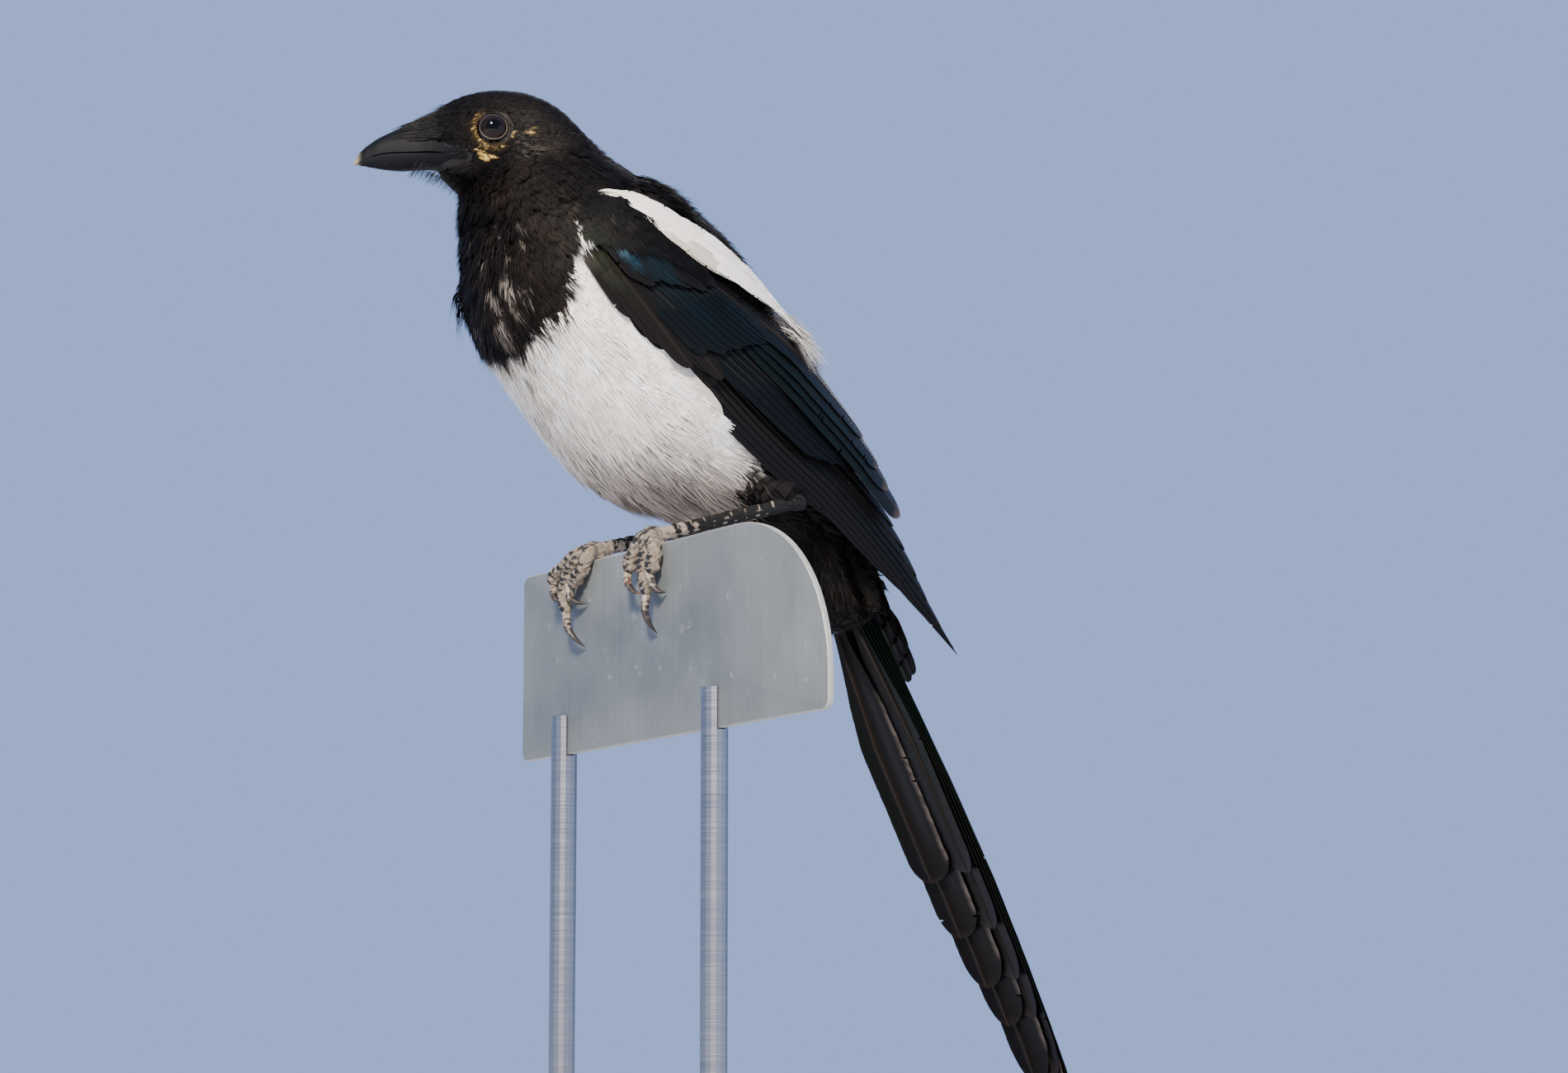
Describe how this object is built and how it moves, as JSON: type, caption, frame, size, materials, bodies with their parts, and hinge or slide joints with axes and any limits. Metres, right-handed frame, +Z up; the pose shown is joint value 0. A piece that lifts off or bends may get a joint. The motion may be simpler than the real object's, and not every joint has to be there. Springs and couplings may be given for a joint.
{
  "type": "magpie model",
  "caption": "Life-size still model of a eurasian magpie perched on the edge of a thin metal panel, head turned and tail hanging, held on rods above a flat wooden base.",
  "frame": {"origin": "centre of the stand base's flat underside, under the perch", "axes": "+Z up, -X the way the bird's body faces, +Y towards the bird's right side"},
  "size_m": [0.2553, 0.1945, 0.345],
  "materials": {
    "plumage_black": "matte",
    "plumage_white": "matte",
    "plumage_wing": "satin",
    "plumage_tail": "satin",
    "bill_horn": "satin",
    "eye": "gloss",
    "leg_scale": "matte",
    "claw_horn": "satin",
    "perch_aluminium": "satin",
    "base_wood": "satin",
    "rod_steel": "satin"
  },
  "bodies": {
    "root": {"head": "plumage_black", "neck": "plumage_black", "breast": "plumage_black", "belly": "plumage_white", "back": "plumage_black", "vent": "plumage_black", "upper_bill": "bill_horn", "lower_bill": "bill_horn", "tail": "plumage_tail", "perch_panel": "perch_aluminium", "eye_left": "eye", "wing_left": "plumage_wing", "scapulars_left": "plumage_white", "thigh_left": "plumage_black", "tarsus_left": "leg_scale", "foot_left": "leg_scale", "claw_inner_left": "claw_horn", "claw_middle_left": "claw_horn", "claw_outer_left": "claw_horn", "claw_hind_left": "claw_horn", "eye_right": "eye", "wing_right": "plumage_wing", "scapulars_right": "plumage_white", "thigh_right": "plumage_black", "tarsus_right": "leg_scale", "foot_right": "leg_scale", "claw_inner_right": "claw_horn", "claw_middle_right": "claw_horn", "claw_outer_right": "claw_horn", "claw_hind_right": "claw_horn", "stand_base": "base_wood", "stand_rod_left": "rod_steel", "stand_rod_right": "rod_steel"}
  },
  "joints": []
}
